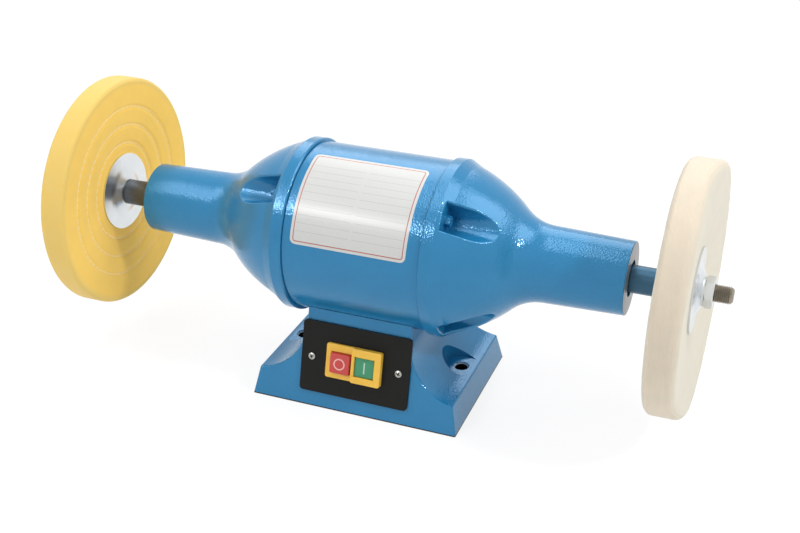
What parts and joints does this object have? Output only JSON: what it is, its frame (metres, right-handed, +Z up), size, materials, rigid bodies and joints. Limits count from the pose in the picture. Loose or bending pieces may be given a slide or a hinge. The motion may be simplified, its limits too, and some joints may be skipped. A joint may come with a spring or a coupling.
{
  "type": "bench polishing machine",
  "caption": "Bench polishing machine: a motor between two long-nosed end bells on a scooped cast base, with a clamped cotton buff on each end of its shaft and a push-button switch.",
  "frame": {"origin": "on the bench, under the middle of the base", "axes": "+X along the shaft towards the soft white buff, -Y towards the switch and the user, +Z up"},
  "size_m": [0.57, 0.2, 0.235],
  "materials": {
    "blue_paint": "hammered gloss paint",
    "cover_steel": "plain sheet steel",
    "zinc_steel": "bright zinc plate",
    "core_steel": "stacked sheet edges",
    "copper_wire": "varnished copper wire",
    "cast_aluminium": "as cast",
    "shaft_steel": "turned, oiled",
    "bearing_steel": "ground",
    "pressed_steel": "pressed",
    "capacitor_can": "plain",
    "black_plastic": "fine matt",
    "lead_insulation": "plain",
    "black_rubber": "moulded",
    "black_plate": "satin black",
    "yellow_plastic": "moulded",
    "red_plastic": "moulded",
    "green_plastic": "moulded",
    "yellow_cotton": "stitched cotton layers",
    "white_cotton": "soft cotton layers"
  },
  "bodies": {
    "machine": {"pedestal_base": "blue_paint", "motor_barrel": "blue_paint", "left_end_bell": "blue_paint", "right_end_bell": "blue_paint", "tie_bolts": "blue_paint", "tie_bolt_nuts": "blue_paint", "tie_bolt_washers": "blue_paint", "bottom_cover": "cover_steel", "bottom_cover_screws": "zinc_steel", "barrel_mount_bolts": "zinc_steel", "capacitor_strap": "zinc_steel", "capacitor_strap_screws": "zinc_steel", "switch_plate_screws": "zinc_steel", "stator_core": "core_steel", "stator_winding": "copper_wire", "left_bearing_outer_race": "bearing_steel", "right_bearing_outer_race": "bearing_steel", "left_bearing_shields": "pressed_steel", "right_bearing_shields": "pressed_steel", "bearing_wave_washer": "pressed_steel", "stop_button_spring": "pressed_steel", "start_button_spring": "pressed_steel", "run_capacitor": "capacitor_can", "terminal_block": "black_plastic", "cable_gland": "black_plastic", "gland_cap": "black_plastic", "gland_locknut": "black_plastic", "switch_case": "black_plastic", "motor_leads": "lead_insulation", "lead_grommet": "black_rubber", "switch_plate": "black_plate", "switch_bezel": "yellow_plastic"},
    "spindle": {"arbor_shaft": "shaft_steel", "rotor_core": "core_steel", "rotor_cage": "cast_aluminium", "left_bearing_inner_race": "bearing_steel", "right_bearing_inner_race": "bearing_steel", "left_inner_flange": "zinc_steel", "right_inner_flange": "zinc_steel", "left_buff": "yellow_cotton", "right_buff": "white_cotton", "left_outer_flange": "zinc_steel", "right_outer_flange": "zinc_steel", "left_spindle_nut": "zinc_steel", "right_spindle_nut": "zinc_steel"},
    "left_ball_set": {"left_bearing_balls": "bearing_steel", "left_bearing_cage": "pressed_steel"},
    "right_ball_set": {"right_bearing_balls": "bearing_steel", "right_bearing_cage": "pressed_steel"},
    "stop_button": {"stop_button": "red_plastic"},
    "start_button": {"start_button": "green_plastic"}
  },
  "joints": [
    {"name": "spindle_spin", "type": "hinge", "parent": "machine", "child": "spindle", "pos_m": [0, 0, 0.135], "axis": [1, 0, 0], "continuous": true},
    {"name": "left_ball_orbit", "type": "hinge", "parent": "machine", "child": "left_ball_set", "pos_m": [0, 0, 0.135], "axis": [1, 0, 0], "continuous": true},
    {"name": "right_ball_orbit", "type": "hinge", "parent": "machine", "child": "right_ball_set", "pos_m": [0, 0, 0.135], "axis": [1, 0, 0], "continuous": true},
    {"name": "stop_button_press", "type": "slide", "parent": "machine", "child": "stop_button", "axis": [0, 0.9724, -0.2334], "range_m": [0, 0.003], "stiffness_N_per_m": 600, "springref_m": -0.003, "deforming": ["stop_button_spring"]},
    {"name": "start_button_press", "type": "slide", "parent": "machine", "child": "start_button", "axis": [0, 0.9724, -0.2334], "range_m": [0, 0.003], "stiffness_N_per_m": 600, "springref_m": -0.003, "deforming": ["start_button_spring"]}
  ],
  "couplings": [
    {"joint": "left_ball_orbit", "follows": "spindle_spin", "ratio": 0.39028},
    {"joint": "right_ball_orbit", "follows": "spindle_spin", "ratio": 0.39028}
  ]
}
